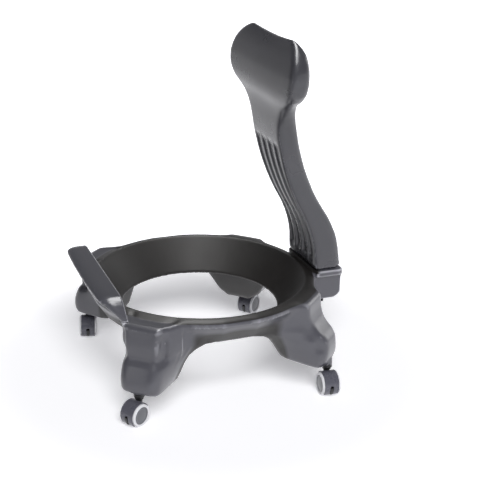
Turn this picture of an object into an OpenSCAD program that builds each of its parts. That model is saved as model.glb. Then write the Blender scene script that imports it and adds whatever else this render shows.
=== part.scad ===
// Balance ball chair: a moulded seat ring on four flared legs, a front bar that holds
// the ball in, a fluted backrest and four twin-wheel casters.
// Millimetres. Floor at z = 0, front towards -Y, backrest towards +Y.

/* [Seat ring] */
// Radius of the ring's inner top edge, on which the ball rests
seat_r = 248; // [235:1:262]
// Height of the ring's top edge above the floor
seat_h = 228.6; // [215:0.2:245]
// Radius of the opening below the conical seat
throat_r = 184; // [165:1:195]
// Height of the conical seat, from the opening to the top edge
seat_drop = 73.2; // [60:0.2:76]
// Width of the rim outside the top edge
rim_w = 22.5; // [18:0.5:28]
// Height of the ring's wall, from its lower edge to its top
wall_h = 61; // [54:0.2:70]
// How far the ring's wall leans inwards towards its lower edge
wall_lean = 30.5; // [22:0.5:36]

/* [Legs] */
// Half the spacing of the caster stems across the chair
stem_x = 231.1; // [222:0.1:240]
// Distance of the front stems in front of the ring's centre
stem_front = 217.5; // [208:0.5:226]
// Distance of the rear stems behind the ring's centre
stem_rear = 228.3; // [218:0.1:236]
// Radius that the feet reach, from the ring's centre
foot_r = 340; // [334:1:350]
// Height of the underside of the feet
foot_h = 58; // [55:0.5:64]
// Width of a foot
foot_w = 93; // [84:1:102]
// How far a leg's sides spread where it meets the ring
leg_flare = 70; // [55:1:80]
// The same beside the front arch
inner_flare = 40; // [30:1:60]
// Depth of the scoops beside a leg's outer face
scoop_d = 15; // [6:0.5:18]

/* [Front bar] */
// Height of the bar's top face
bar_h = 270; // [262:1:285]
// Depth of the bar from its inner edge to its front
bar_d = 55; // [45:1:60]
// Distance of the bar's inner edge from the ring's centre
bar_y = 233; // [230:1:238]
// Half the length of the bar, to the outer face of its ends
bar_x = 197; // [193:1:200]
// Thickness of the bar
bar_t = 21; // [18:0.5:26]

/* [Backrest] */
// Height of the top of the backrest above the floor
back_h = 790; // [730:1:850]
// Half the width of the backrest's neck at its foot
neck_w = 78; // [72:0.5:84]
// Half the width of the head
head_w = 185; // [160:1:195]
// Spacing of the flutes
flute_pitch = 35; // [32:0.5:36]
// Width of a flute
flute_w = 24; // [18:0.5:27]
// Depth of a flute
flute_d = 5; // [3:0.5:7]
// Dip in the middle of the head's top edge
head_dip = 6; // [2:0.5:10]

/* [Casters] */
// Radius of the wheels
wheel_r = 25.8; // [24:0.2:27]
// Width of a wheel
wheel_w = 14; // [12:0.2:16]
// Distance from the swivel axis to the wheels' axle
trail = 15; // [13:0.5:19]
// Thickness of the web between the wheels
web_t = 13.6; // [13:0.2:15]
// Diameter of the stem
stem_d = 11; // [10:0.1:12]
// Length of the stem inside the foot
stem_in = 24; // [20:0.5:30]
// Heading of the front left caster
turn_front_left = -58; // [-180:0.1:180]
// Heading of the front right caster
turn_front_right = -16; // [-180:0.1:180]
// Heading of the rear left caster
turn_rear_left = -5; // [-180:0.1:180]
// Heading of the rear right caster
turn_rear_right = -50; // [-180:0.1:180]

/* [Hidden] */
$fn = 96;

// Overrun of every cut, past the face that it opens
overrun = 2;
// Clearance of a running fit, on the radius
run_gap = 0.05;
// Gap between pieces that seat on each other
seat_gap = 0.2;
// Gap between pieces that move past each other
move_gap = 0.4;

// Ring, derived
rim_r = seat_r + rim_w;
apron_h = seat_h - wall_h;
under_share = 0.2885;
under_h = apron_h - under_share * wall_h;
seat_foot_h = seat_h - seat_drop;
ring_in_share = 0.924;
ring_in = ring_in_share * throat_r;
leg_in = rim_r - wall_lean;
under_lean_share = 1;
under_r = leg_in - under_lean_share * wall_lean;
reach = foot_r - rim_r;
leg_h = seat_h - foot_h;
shoulder_share = 0.9318;
shoulder_h = shoulder_share * seat_h;

// Centre of the whole chair's length, which the origin takes
rear_share = 1.2384;
rear_y = rear_share * rim_r;
front_y = bar_y + bar_d;
shift_y = (rear_y - front_y) / 2;

// Outer face of a front leg: share of the leg's height, share of its reach
front_face_shares = [[0, 0.78], [0.029, 0.84], [0.076, 0.925], [0.141, 0.975],
    [0.234, 1], [0.305, 0.957], [0.381, 0.885], [0.457, 0.799], [0.4865, 0.755],
    [0.516, 0.626], [0.54, 0.604], [0.909, 0.597], [1, 0.55]];
// Outer face of a rear leg, the same way
rear_face_shares = [[0, 0.64], [0.029, 0.72], [0.076, 0.81], [0.135, 0.9],
    [0.211, 0.94], [0.332, 0.945], [0.424, 0.92], [0.48, 0.846], [0.531, 0.725],
    [0.571, 0.604], [0.62, 0.489], [0.676, 0.394], [0.735, 0.343], [0.788, 0.311],
    [0.842, 0.3], [0.92, 0.29], [1, 0.28]];
// Half width of the outer face: share of height, share of half the foot's width
face_width_shares = [[0, 0.774], [0.023, 0.86], [0.059, 0.957], [0.106, 1],
    [0.22, 0.99], [0.46, 0.95], [0.54, 0.86], [0.9, 0.86], [1, 0.97]];
// Rounding of the outer face's upright corners: share of height, share of half width
corner_shares = [[0, 0.42], [0.1, 0.54], [0.45, 0.54], [0.54, 0.24], [1, 0.18]];
// Where a leg's side meets the ring wall's line: share of height, share of the flare
side_shares = [[0, -0.15], [0.023, -0.08], [0.07, 0.007], [0.152, 0.107],
    [0.252, 0.229], [0.363, 0.35], [0.451, 0.497], [0.528, 0.676], [0.574, 0.836],
    [0.604, 0.993], [0.7, 0.93], [0.85, 0.82], [1, 0.65]];
// The arch between the legs: share of the flare, share of the arch's height. Beside a
// front leg, then beside a rear leg
front_arch_shares = [[-0.5, 0.145], [-0.26, 0.135], [-0.1, 0.115], [0, 0.135], [0.044, 0.16], [0.107, 0.24],
    [0.17, 0.35], [0.253, 0.497], [0.322, 0.64], [0.4, 0.73], [0.481, 0.79], [0.639, 0.885],
    [0.797, 0.955], [0.955, 0.985], [1.19, 1]];
rear_arch_shares = [[-0.5, 0.11], [-0.179, 0.112], [-0.1, 0.164], [-0.02, 0.215], [0.03, 0.24],
    [0.083, 0.275], [0.177, 0.355], [0.311, 0.49], [0.458, 0.64], [0.617, 0.783], [0.751, 0.862],
    [0.906, 0.936], [1.03, 0.975], [1.19, 1]];
// Rows of the outer skin, as shares of the way from the lower edge to the shoulder
row_shares = [0, 0.013, 0.045, 0.09, 0.15, 0.24, 0.34, 0.44, 0.515, 0.55, 0.585,
    0.65, 0.73, 0.85, 1];
// Lower edge, inner face and underside: share of the way out, share of the way down
lip_shares = [0.34, 0.51, 0.66, 0.84, 0.93];
drop_shares = [0.05, 0.5, 0.86, 0.97, 1];
// Rim, from the shoulder to the inner edge: share of the rim's width, of the shoulder's
// height, of a leg's extension, and of the pad's dip
rim_shares = [[1, 0.22, 0.94, 0], [0.955, 0.48, 0.87, 0], [0.82, 0.69, 0.78, 0.15],
    [0.62, 0.85, 0.49, 0.72], [0.38, 0.95, 0.36, 1], [0.13, 0.995, 0.21, 0.45]];
// Places of the columns beside a leg's middle, in degrees
column_turns = [0, 3, 5, 6.2, 7.1, 8, 8.8, 9.7, 10.8, 12.2, 14, 16, 18.5, 22, 27, 35];

// Depth of the dish in the pads on which the front bar stands, and its run in
pad_dip = 6.5;
pad_run = 24;
// Round of the ring's inner top edge
top_round = 3;
// Blend between a leg's side and the ring's wall
blend = 14;

// Direction of each leg from the ring's centre; the front legs splay a little
front_splay = 0.66;
turn_front = atan2(stem_front, stem_x) - front_splay;
turn_rear = atan2(stem_rear, stem_x);
leg_turns = [-180 + turn_front, -turn_front, turn_rear, 180 - turn_rear];

function clip(x, lo, hi) = min(hi, max(lo, x));
function ease(x) = let (c = clip(x, 0, 1)) c * c * (3 - 2 * c);
function smax(p, q, k) = let (h = max(0, k - abs(p - q))) max(p, q) + h * h / (4 * k);

// Height share of a level on the legs
function level(z) = clip((z - foot_h) / leg_h, 0, 1);
// Outer face's distance at a height
function face_r(z, front) =
    rim_r + reach * lookup(level(z), front ? front_face_shares : rear_face_shares);
function face_half(z) = foot_w / 2 * lookup(level(z), face_width_shares);
function face_corner(z) = foot_w / 2 * lookup(level(z), corner_shares);
// Offset of a leg's side from its middle, where it crosses the inner radius
function side_t(z, spread) =
    let (s = lookup(level(z), side_shares))
    min(0.8 * leg_in, foot_w / 2 + (s < 0 ? s * foot_w : s * spread));

// Radius of a leg's skin at an angle from its middle
function leg_skin(a, z, front, spread) =
    let (f = face_r(z, front), h = face_half(z), c = face_corner(z),
        t = max(h * 0.75, side_t(z, spread)),
        k = (t - h) / (f - sqrt(leg_in * leg_in - t * t)),
        n = sqrt(1 + k * k),
        cx = f - c,
        ct = h - c * (n - k),
        first = atan2(ct, f),
        last = atan2(ct + c / n, cx + c * k / n),
        b = cx * cos(a) + ct * sin(a),
        d = b * b - cx * cx - ct * ct + c * c)
    a <= first ? f / cos(a)
        : a < last ? b + sqrt(max(0, d))
        : (h + k * f) / (sin(a) + k * cos(a));

// Radius of the ring's leaning wall
function wall_r(z) = rim_r - wall_lean * clip((shoulder_h - z) / (shoulder_h - apron_h), 0, 1);

// Scoops beside the outer faces
function bump(x, mid, half) =
    abs(x - mid) < half ? (1 + cos(180 * (x - mid) / half)) / 2 : 0;
function scoop(a, z, front) =
    let (s = level(z))
    front
        ? scoop_d * bump(a, 8.5, 2.6) * ease((s - 0.42) / 0.1) * ease((0.93 - s) / 0.12)
        : scoop_d * bump(a, 7.2 + 3.6 * (s - 0.3), 3.2 - 3 * (s - 0.25))
            * ease((s - 0.26) / 0.14) * ease((0.76 - s) / 0.32);

// Outer skin at an angle from the nearest leg's middle
function skin_r(a, z, front, spread) =
    smax(leg_skin(a, z, front, spread) - scoop(a, z, front), wall_r(z), blend);

// Height of the lower edge at an angle from the nearest leg's middle
function edge_z(a, front, spread) =
    let (t = leg_in * sin(min(a, 90)) - foot_w / 2,
        s = t < 0 ? t / foot_w : t / spread)
    foot_h + (apron_h - foot_h)
        * lookup(clip(s, -0.5, 1.19), front ? front_arch_shares : rear_arch_shares);

// One upright section of the base, from the underside round the outside to the top
function base_section(turn, a, front, spread) =
    let (z0 = edge_z(a, front, spread), r0 = skin_r(a, z0, front, spread),
        top_r = skin_r(a, shoulder_h, front, spread),
        ext = max(0, top_r - rim_r),
        dip = front ? pad_dip * ease(ext / pad_run) : 0,
        lip_w = leg_in - under_r,
        drop = under_h - z0,
        outline = concat(
            [[ring_in, under_h], [under_r, under_h]],
            [for (i = [0:len(lip_shares) - 1])
                let (s = lip_shares[i], u = i == len(lip_shares) - 1 ? 0.5 : 0)
                [(under_r + lip_w * s) * (1 - u) + r0 * u,
                    drop > 0 ? under_h - drop * drop_shares[i]
                        : under_h - drop * s]],
            [for (s = row_shares)
                let (z = z0 + (shoulder_h - z0) * s) [skin_r(a, z, front, spread), z]],
            [for (s = rim_shares)
                [seat_r + rim_w * s[0] + ext * s[2],
                    shoulder_h + (seat_h - shoulder_h) * s[1] - dip * s[3]]],
            [[seat_r, seat_h], [ring_in, seat_h]]))
    [for (p = outline) [p[0] * cos(turn), p[0] * sin(turn), p[1]]];

columns = [for (i = [0:3])
    let (front = i < 2, t = leg_turns[i])
    for (j = [1 - len(column_turns):len(column_turns) - 1])
        let (inner = i == 0 && j > 0 || i == 1 && j < 0)
        [t + sign(j) * column_turns[abs(j)], column_turns[abs(j)], front,
            inner ? inner_flare : leg_flare]];
base_sections = [for (c = columns) base_section(c[0], c[1], c[2], c[3])];

// Closed band through sections, joined end to end
module ring_band(sections) {
    m = len(sections);
    n = len(sections[0]);
    points = [for (s = sections) for (p = s) p];
    faces = [for (i = [0:m - 1]) for (j = [0:n - 1])
        let (i2 = (i + 1) % m, j2 = (j + 1) % n,
            p = i * n + j, q = i * n + j2, r = i2 * n + j2, s = i2 * n + j)
        each [[p, q, r], [p, r, s]]];
    polyhedron(points, faces, convexity = 8);
}

// Straight band through sections, closed by a ladder of faces at both ends
module end_band(sections) {
    m = len(sections);
    n = len(sections[0]);
    h = n / 2;
    points = [for (s = sections) for (p = s) p];
    sides = [for (i = [0:m - 2]) for (j = [0:n - 1])
        let (j2 = (j + 1) % n,
            p = i * n + j, q = i * n + j2, r = (i + 1) * n + j2, s = (i + 1) * n + j)
        each [[p, r, q], [p, s, r]]];
    ends = [for (j = [0:h - 2])
        let (p = j, q = j + 1, r = n - 2 - j, s = n - 1 - j, e = (m - 1) * n)
        each [[p, q, r], [p, r, s], [e + p, e + r, e + q], [e + p, e + s, e + r]]];
    polyhedron(points, concat(sides, ends), convexity = 8);
}

// Rear block that carries the backrest
block_w = 156;
block_y = 275;
block_d = 56;
block_low = 155;
block_top = 216;
block_round = 20;
flange_w = 172;
flange_d = 70;
flange_up = 0.6;
flange_round = 16;
// Slot in the block for the backrest's tongue
tongue_w = 110;
tongue_t = 22;
tongue_h = 50;
tongue_y = 300;
tongue_wall = 0.3;
// Bolts up through the block into the tongue
bolt_x = 42;
bolt_d = 8;
bolt_head_d = 9;
bolt_head_h = 20;
washer_d = 17;
washer_t = 1.6;
bolt_in = 28;
bolt_hole_gap = 0.4;
insert_d = 12;
insert_h = 22;

// Sockets in the feet
socket_d = 17;
socket_wall = 2.95;
flange_r = 10;
flange_t = 2.4;
boss_r = 12.5;
stem_top_gap = 3;

flange_top = seat_h + flange_up;

// Seats of the front bar's feet on the pads, and the pegs that hold them
pad_drop = 5.8;
pad_h = seat_h - pad_drop;
peg_x = 185.5;
peg_y = 236;
peg_d = 6;
peg_in = 12;
seat_l = 21;
seat_w = 14;

module shifted() {
    translate([0, -shift_y, 0]) children();
}

// The four stems: place, heading
corner_spots = [[stem_x, -stem_front, turn_front_left], [-stem_x, -stem_front, turn_front_right],
    [stem_x, stem_rear, turn_rear_left], [-stem_x, stem_rear, turn_rear_right]];

module at_corner(i) {
    shifted() translate([corner_spots[i][0], corner_spots[i][1], 0])
        rotate(corner_spots[i][2]) children();
}

module block_outline() {
    translate([block_y - block_d, block_low])
        square([2 * block_d - block_round, block_top - block_low]);
    translate([block_y, block_low + block_round])
        square([block_d, block_top - block_low - block_round]);
    translate([block_y + block_d - block_round, block_low + block_round])
        circle(block_round);
}

module rear_block() {
    rotate([90, 0, 90]) translate([0, 0, -block_w / 2])
        linear_extrude(block_w) block_outline();
    // Flange on which the backrest stands
    translate([0, 0, block_top - overrun]) linear_extrude(flange_top - block_top + overrun)
        difference() {
            translate([-flange_w / 2, rear_y - flange_d])
                square([flange_w, flange_d]);
            for (m = [-1, 1]) translate([m * flange_w / 2, rear_y]) difference() {
                square(2 * flange_round, center = true);
                translate([-m * flange_round, -flange_round]) circle(flange_round);
            }
        }
}

module seat_cut() {
    // Throat, conical seat and a small round on the ring's top edge
    edge = top_round;
    lean = (seat_r - throat_r) / seat_drop;
    rotate_extrude($fn = 180) polygon([
        [0, foot_h],
        [throat_r, foot_h],
        [throat_r, seat_foot_h],
        [seat_r - lean * edge, seat_h - edge],
        [seat_r - lean * edge / 3, seat_h - edge / 3],
        [seat_r + edge / 3, seat_h],
        [seat_r + edge / 3, seat_h + 10 * overrun],
        [0, seat_h + 10 * overrun]]);
}

module base_frame() {
    color("#505055") shifted() difference() {
        union() {
            difference() {
                ring_band(base_sections);
                seat_cut();
            }
            difference() {
                rear_block();
                cylinder(r = seat_r + rim_w / 2, h = 2 * seat_h);
            }
            for (c = corner_spots) translate([c[0], c[1], foot_h])
                cylinder(r = boss_r, h = stem_in);
            // Flat seats on the pads
            for (m = [-1, 1]) translate([m * peg_x, -peg_y, pad_h - peg_in / 2])
                linear_extrude(peg_in / 2) square([seat_l, seat_w], center = true);
        }
        // Bores for the caster sockets
        for (c = corner_spots) translate([c[0], c[1], foot_h - overrun])
            cylinder(d = socket_d, h = stem_in + stem_top_gap + overrun);
        // Slot and bolt holes of the backrest
        translate([-tongue_w / 2 - tongue_wall, tongue_y - tongue_t / 2 - tongue_wall,
            flange_top - tongue_h - tongue_wall])
            cube([tongue_w + 2 * tongue_wall, tongue_t + 2 * tongue_wall,
                tongue_h + tongue_wall + overrun]);
        for (m = [-1, 1]) translate([m * bolt_x, tongue_y, block_low - overrun])
            cylinder(d = bolt_d + 2 * bolt_hole_gap, h = block_top - block_low);
        // Holes for the front bar's pegs
        for (m = [-1, 1]) translate([m * peg_x, -peg_y, pad_h - peg_in - seat_gap])
            cylinder(d = peg_d + 2 * run_gap, h = peg_in + seat_gap + overrun);
    }
}

// Front bar: a band that bends down at both ends to stand on the front legs' pads.
// Stations from the middle to an end: share of half the length, share of the drop,
// turn of the section, and shares of the depth at the front and at the inner edge
bar_shares = [[0, 0, 0, 1, 0], [0.3, 0, 0, 0.99, 0], [0.52, 0, 0, 0.965, 0],
    [0.66, 0, 0, 0.945, 0], [0.751, 0.003, 4, 0.92, 0], [0.81, 0.033, 16, 0.875, 0],
    [0.8655, 0.128, 31, 0.76, 0], [0.913, 0.28, 46, 0.63, -0.005],
    [0.949, 0.479, 60, 0.49, -0.02], [0.972, 0.69, 73, 0.35, -0.045],
    [0.989, 0.87, 84, 0.235, -0.07], [1, 1, 90, 0.15, -0.08]];
// Outline of a section: share of its depth from the inner edge, share of thickness
bar_outline_shares = [[0, 0.12], [0.04, 0], [0.5, 0], [0.68, 0.03], [0.84, 0.1],
    [0.95, 0.22], [1, 0.4], [0.98, 0.58], [0.92, 0.75], [0.82, 0.89], [0.68, 0.98], [0.4, 1],
    [0.06, 1], [0, 0.88]];

function bar_section(s, side) =
    let (drop = bar_h - pad_h - seat_gap,
        x = bar_x * s[0], z = bar_h - drop * s[1], turn = s[2],
        y0 = bar_y + bar_d * s[4], y1 = bar_y + bar_d * s[3])
    [for (p = bar_outline_shares)
        let (w = bar_t * p[1])
        [side * (x - w * sin(turn)), -(y0 + (y1 - y0) * p[0]), z - w * cos(turn)]];

module front_bar() {
    n = len(bar_shares);
    color("#505055") shifted() difference() {
        end_band([for (i = [1 - n:n - 1]) bar_section(bar_shares[abs(i)], i < 0 ? -1 : 1)]);
        for (m = [-1, 1]) translate([m * peg_x, -peg_y, pad_h - overrun])
            cylinder(d = peg_d + 2 * run_gap, h = peg_in + overrun);
    }
}

module bar_pegs() {
    color("#9a9a9e") shifted() for (m = [-1, 1])
        translate([m * peg_x, -peg_y, pad_h - peg_in])
            cylinder(d = peg_d, h = 2 * peg_in - seat_gap);
}

// Backrest: sections up its height. Share of the height, of the forward lean, of the
// thickness at the foot, and of the way from the neck's half width to the head's
back_foot_h = flange_top + seat_gap;
back_y = 264;
back_lean = 130;
back_t = 60;
back_shares = [[0, -0.015, 0.99, -0.03], [0.007, -0.015, 0.99, -0.03],
    [0.0095, 0.008, 1.09, 0.015], [0.016, 0.021, 1.15, 0.03], [0.034, 0.032, 1.15, 0.02],
    [0.042, 0.034, 1.15, 0.02], [0.054, 0.038, 1.145, 0.015], [0.09, 0.05, 1.13, 0],
    [0.125, 0.077, 1.13, -0.012], [0.16, 0.117, 1.12, -0.02], [0.2, 0.18, 1.1, -0.03],
    [0.235, 0.248, 1.07, -0.036], [0.27, 0.331, 1.03, -0.034], [0.305, 0.414, 1.005, -0.028],
    [0.34, 0.488, 0.975, -0.014], [0.38, 0.563, 0.948, -0.003], [0.42, 0.63, 0.923, 0.006],
    [0.46, 0.689, 0.903, 0.016], [0.5, 0.74, 0.887, 0.027], [0.535, 0.777, 0.874, 0.034],
    [0.556, 0.799, 0.873, 0.033], [0.568, 0.811, 0.875, 0.03], [0.585, 0.827, 0.88, 0.03],
    [0.615, 0.847, 0.878, 0.04], [0.65, 0.866, 0.857, 0.088], [0.685, 0.884, 0.83, 0.18],
    [0.715, 0.905, 0.8, 0.305], [0.737, 0.929, 0.775, 0.44], [0.755, 0.96, 0.775, 0.61],
    [0.772, 0.984, 0.82, 0.775], [0.8, 1.004, 0.9, 0.925], [0.835, 1.008, 0.937, 0.992],
    [0.87, 0.998, 0.925, 1], [0.9, 0.968, 0.87, 0.975], [0.93, 0.932, 0.795, 0.9],
    [0.955, 0.889, 0.7, 0.785], [0.975, 0.843, 0.54, 0.655], [0.989, 0.803, 0.35, 0.51],
    [0.997, 0.778, 0.17, 0.38], [1, 0.763, 0.05, 0.27]];
// Heights between which the flutes run, as shares of the backrest's height
flute_low_share = 0.036;
flute_high_share = 0.566;
flute_end_share = 0.02;
// Half of a section: place across a flute as a share of half its width, depth share
flute_shares = [[-1, 0], [-0.7, 0.85], [0, 1], [0.7, 0.85], [1, 0]];
// Edge roundings of the backrest, front and rear, and its crown across the width
front_round = 9;
rear_round = 15;
front_crown = 1;
rear_crown = 9;

function flute_at(h) = flute_d
    * ease((h - flute_low_share) / flute_end_share)
    * ease((flute_high_share - h) / flute_end_share);

function back_section(s) =
    let (h = s[0],
        w = neck_w + (head_w - neck_w) * s[3],
        yf = back_y - back_lean * s[1], th = back_t * s[2], yr = yf + th,
        fr = min(front_round, th / 2.2), rr = min(rear_round, th / 2.2),
        headed = ease((h - 0.58) / 0.14),
        zs = back_foot_h + (back_h - back_foot_h) * h,
        spread = (w - fr) / (2 * flute_pitch),
        stretch = 1 + max(0, spread - 1) * headed,
        inner = [for (k = [0, 1]) for (f = flute_shares)
            [((k + 0.5) * flute_pitch + f[0] * flute_w / 2) * stretch, f[1]]],
        half = concat([for (p = inner) [p[0], p[1] * flute_at(h)]],
            [[w - fr, 0], [w - 0.3 * fr, 0.3 * fr], [w, fr]]),
        n = len(half),
        line = concat([for (i = [n - 1:-1:0]) [-half[i][0], half[i][1], i]],
            [for (i = [0:n - 1]) [half[i][0], half[i][1], i]]),
        crown_f = front_crown * headed, crown_r = rear_crown * (0.35 + 0.65 * headed),
        top = ease((h - 0.86) / 0.14))
    concat(
        [for (p = line)
            let (u = p[0] / w)
            [p[0], yf + p[1] + min(crown_f, th / 3) * u * u,
                zs - head_dip * top * (1 - u * u)]],
        [for (i = [2 * n - 1:-1:0])
            let (p = line[i], u = p[0] / w,
                e = p[2] == n - 1 ? rr : p[2] == n - 2 ? 0.3 * rr : 0)
            [p[2] == n - 2 ? sign(p[0]) * (w - 0.3 * rr) : p[0],
                yr - e - min(crown_r, th / 3) * u * u * (p[2] == n - 1 ? 0.6 : 1),
                zs - head_dip * top * (1 - u * u)]]);

module backrest() {
    color("#4a4a50") shifted() difference() {
        union() {
            end_band([for (s = back_shares) back_section(s)]);
            // Tongue that stands in the rear block's slot
            translate([-tongue_w / 2, tongue_y - tongue_t / 2, flange_top - tongue_h])
                cube([tongue_w, tongue_t, tongue_h + back_t / 4]);
        }
        // Bores for the threaded inserts, with room for the bolts' ends
        for (m = [-1, 1]) translate([m * bolt_x, tongue_y, flange_top - tongue_h - overrun]) {
            cylinder(d = insert_d + 2 * run_gap, h = insert_h + overrun);
            cylinder(d = bolt_d + 2 * bolt_hole_gap, h = bolt_in + 2 * overrun);
        }
    }
}

module back_inserts() {
    color("#b08d57") shifted() for (m = [-1, 1])
        translate([m * bolt_x, tongue_y, flange_top - tongue_h]) difference() {
            cylinder(d = insert_d, h = insert_h);
            translate([0, 0, -overrun])
                cylinder(d = bolt_d + 2 * run_gap, h = insert_h + 2 * overrun);
        }
}

module back_washers() {
    color("#3a3a3e") shifted() for (m = [-1, 1])
        translate([m * bolt_x, tongue_y, block_low - washer_t - run_gap]) difference() {
            cylinder(d = washer_d, h = washer_t);
            translate([0, 0, -overrun])
                cylinder(d = bolt_d + 2 * bolt_hole_gap, h = washer_t + 2 * overrun);
        }
}

module back_bolts() {
    head_z = block_low - washer_t - 2 * run_gap;
    color("#2c2c30") shifted() for (m = [-1, 1]) translate([m * bolt_x, tongue_y, head_z]) {
        cylinder(d = bolt_d, h = flange_top - tongue_h - head_z + bolt_in);
        translate([0, 0, -bolt_head_h]) cylinder(d = bolt_head_d, h = bolt_head_h);
    }
}

// Caster, about its swivel axis, with the wheels towards +X
hood_t = 1.8;
wheel_gap = 0.8;
hood_r = wheel_r + wheel_gap + hood_t;
hood_w = 34;
fender_low = 38;
hem_h = 6;
wheel_side = 0.4;
hub_r = 20;
axle_d = 6;
axle_in = 11.6;
web_low = 20;
neck_r = 9;
collar_r = 7;
stem_low = 24;
ring_wire = 2;
ring_h = 6;
slot_w = 7.4;
pin_d = 3;
pin_x = 15.5;
tab_r = 7;
tab_x = 19.5;
tab_z = 13;

module socket() {
    color("#1c1c1e") translate([0, 0, foot_h]) difference() {
        union() {
            cylinder(d = socket_d - 2 * run_gap, h = stem_in + stem_top_gap - seat_gap);
            translate([0, 0, -flange_t - run_gap]) cylinder(r = flange_r, h = flange_t);
            translate([0, 0, -flange_t - run_gap])
                cylinder(d = socket_d - 2 * run_gap, h = flange_t + overrun);
        }
        translate([0, 0, -flange_t - overrun])
            cylinder(d = stem_d + 2 * run_gap,
                h = flange_t + overrun + stem_in + run_gap);
        // Recess for the grip ring
        translate([0, 0, stem_in - ring_h])
            cylinder(d = stem_d + ring_wire, h = ring_h + run_gap);
    }
}

module stem() {
    color("#8f9094") difference() {
        translate([0, 0, stem_low]) cylinder(d = stem_d, h = foot_h + stem_in - stem_low);
        translate([0, 0, foot_h + stem_in - ring_h / 2]) rotate_extrude()
            translate([stem_d / 2 - ring_wire / 8, 0]) circle(d = ring_wire * 0.62, $fn = 32);
    }
}

module grip_ring() {
    color("#b4b5b8") translate([0, 0, foot_h + stem_in - ring_h / 2]) difference() {
        rotate_extrude() translate([stem_d / 2 - ring_wire / 8, 0])
            circle(d = ring_wire * 0.62 - 2 * run_gap, $fn = 32);
        translate([0, -ring_wire / 2, -ring_wire]) cube([stem_d, ring_wire, 2 * ring_wire]);
    }
}

module along_axle(r, half) {
    translate([trail, 0, wheel_r]) rotate([90, 0, 0])
        cylinder(r = r, h = 2 * half, center = true);
}

module hood() {
    collar_top = foot_h - flange_t - move_gap;
    color("#3c3c42") difference() {
        union() {
            // Fender over the tops and backs of the wheels
            difference() {
                along_axle(hood_r, hood_w / 2);
                translate([trail - 2 * hood_r, -hood_w, web_low - 2 * hood_r])
                    cube([2 * hood_r + trail * 0.64, 2 * hood_w, 2 * hood_r]);
                translate([trail - 2 * hood_r, -hood_w, fender_low - 2 * hood_r])
                    cube([2 * hood_r - trail * 0.6, 2 * hood_w, 2 * hood_r]);
                translate([trail - 2 * hood_r, -hood_w, hem_h - 2 * hood_r])
                    cube([4 * hood_r, 2 * hood_w, 2 * hood_r]);
            }
            // Web, and the collar round the stem
            translate([-neck_r * 0.8, -web_t / 2, web_low])
                cube([trail + neck_r * 0.8, web_t, fender_low - web_low + hood_t]);
            along_axle(neck_r, web_t / 2);
            translate([0, 0, web_low]) cylinder(r = collar_r, h = collar_top - web_low);
        }
        // Room for the two wheels
        for (m = [0, 1]) mirror([0, m, 0]) translate([trail, web_t / 2, wheel_r])
            rotate([-90, 0, 0]) cylinder(r = wheel_r + wheel_gap, h = hood_w);
        // Bores for the stem, the axle and the brake's pin
        translate([0, 0, stem_low]) cylinder(d = stem_d + 2 * run_gap, h = foot_h);
        along_axle(axle_d / 2 + run_gap, hood_w);
        translate([pin_x, 0, 0]) along_axle(pin_d / 2 + run_gap, hood_w);
        // Slot for the brake lever, and the narrow groove above it
        translate([trail + pin_x - pin_d - hood_t / 2, -slot_w / 2, -overrun])
            cube([hood_r, slot_w, wheel_r + pin_d + hood_t / 2 + overrun]);
        translate([trail + hood_r - 1.5 * hood_t, -hood_t / 4, wheel_r])
            cube([hood_r, hood_t / 2, wheel_r / 2]);
    }
}

module axle() {
    color("#c9cacd") along_axle(axle_d / 2, web_t / 2 + wheel_side + axle_in);
}

module brake() {
    half = slot_w / 2 - move_gap;
    color("#2e2e33") {
        // Lever in the slot
        intersection() {
            translate([trail, 0, wheel_r]) rotate([90, 0, 0])
                linear_extrude(2 * half, center = true) union() {
                    translate([pin_x, 0]) circle(d = 2 * pin_d);
                    difference() {
                        circle(hood_r + overrun / 2);
                        circle(pin_x - pin_d + move_gap);
                    }
                }
            union() {
                translate([trail + pin_x - pin_d, -slot_w, wheel_r - tab_r])
                    cube([hood_r, 2 * slot_w, tab_r]);
                translate([trail + pin_x - pin_d, -slot_w, wheel_r - tab_z - tab_r / 2])
                    cube([hood_r, 2 * slot_w, tab_z]);
                translate([pin_x, 0, 0]) along_axle(pin_d, slot_w);
            }
        }
        // Pin, and the domed tab outside the hood
        translate([pin_x, 0, 0]) along_axle(pin_d / 2, web_t / 2 - run_gap);
        difference() {
            translate([trail + tab_x, 0, tab_z]) sphere(tab_r);
            along_axle(hood_r + move_gap, hood_w);
        }
    }
}

module on_wheel(side) {
    translate([trail, side * (web_t / 2 + wheel_side), wheel_r]) rotate([-side * 90, 0, 0])
        children();
}

module hub(side) {
    color("#66686c") on_wheel(side) difference() {
        rotate_extrude() polygon([[0, 0], [hub_r, 0], [hub_r, wheel_w - wheel_gap],
            [hub_r - wheel_gap, wheel_w], [hub_r * 0.8, wheel_w],
            [hub_r * 0.74, wheel_w - wheel_gap], [hub_r * 0.3, wheel_w], [0, wheel_w]]);
        translate([0, 0, -overrun])
            cylinder(d = axle_d + 2 * run_gap, h = overrun + axle_in + seat_gap);
    }
}

module tyre(side) {
    edge = (wheel_r - hub_r) / 2.5;
    color("#c8c8cc") on_wheel(side) rotate_extrude() polygon([[hub_r + run_gap, 0],
        [wheel_r - edge, 0], [wheel_r, edge], [wheel_r, wheel_w - edge],
        [wheel_r - edge / 3, wheel_w - edge / 3], [wheel_r - edge, wheel_w],
        [hub_r + run_gap, wheel_w]]);
}

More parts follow.
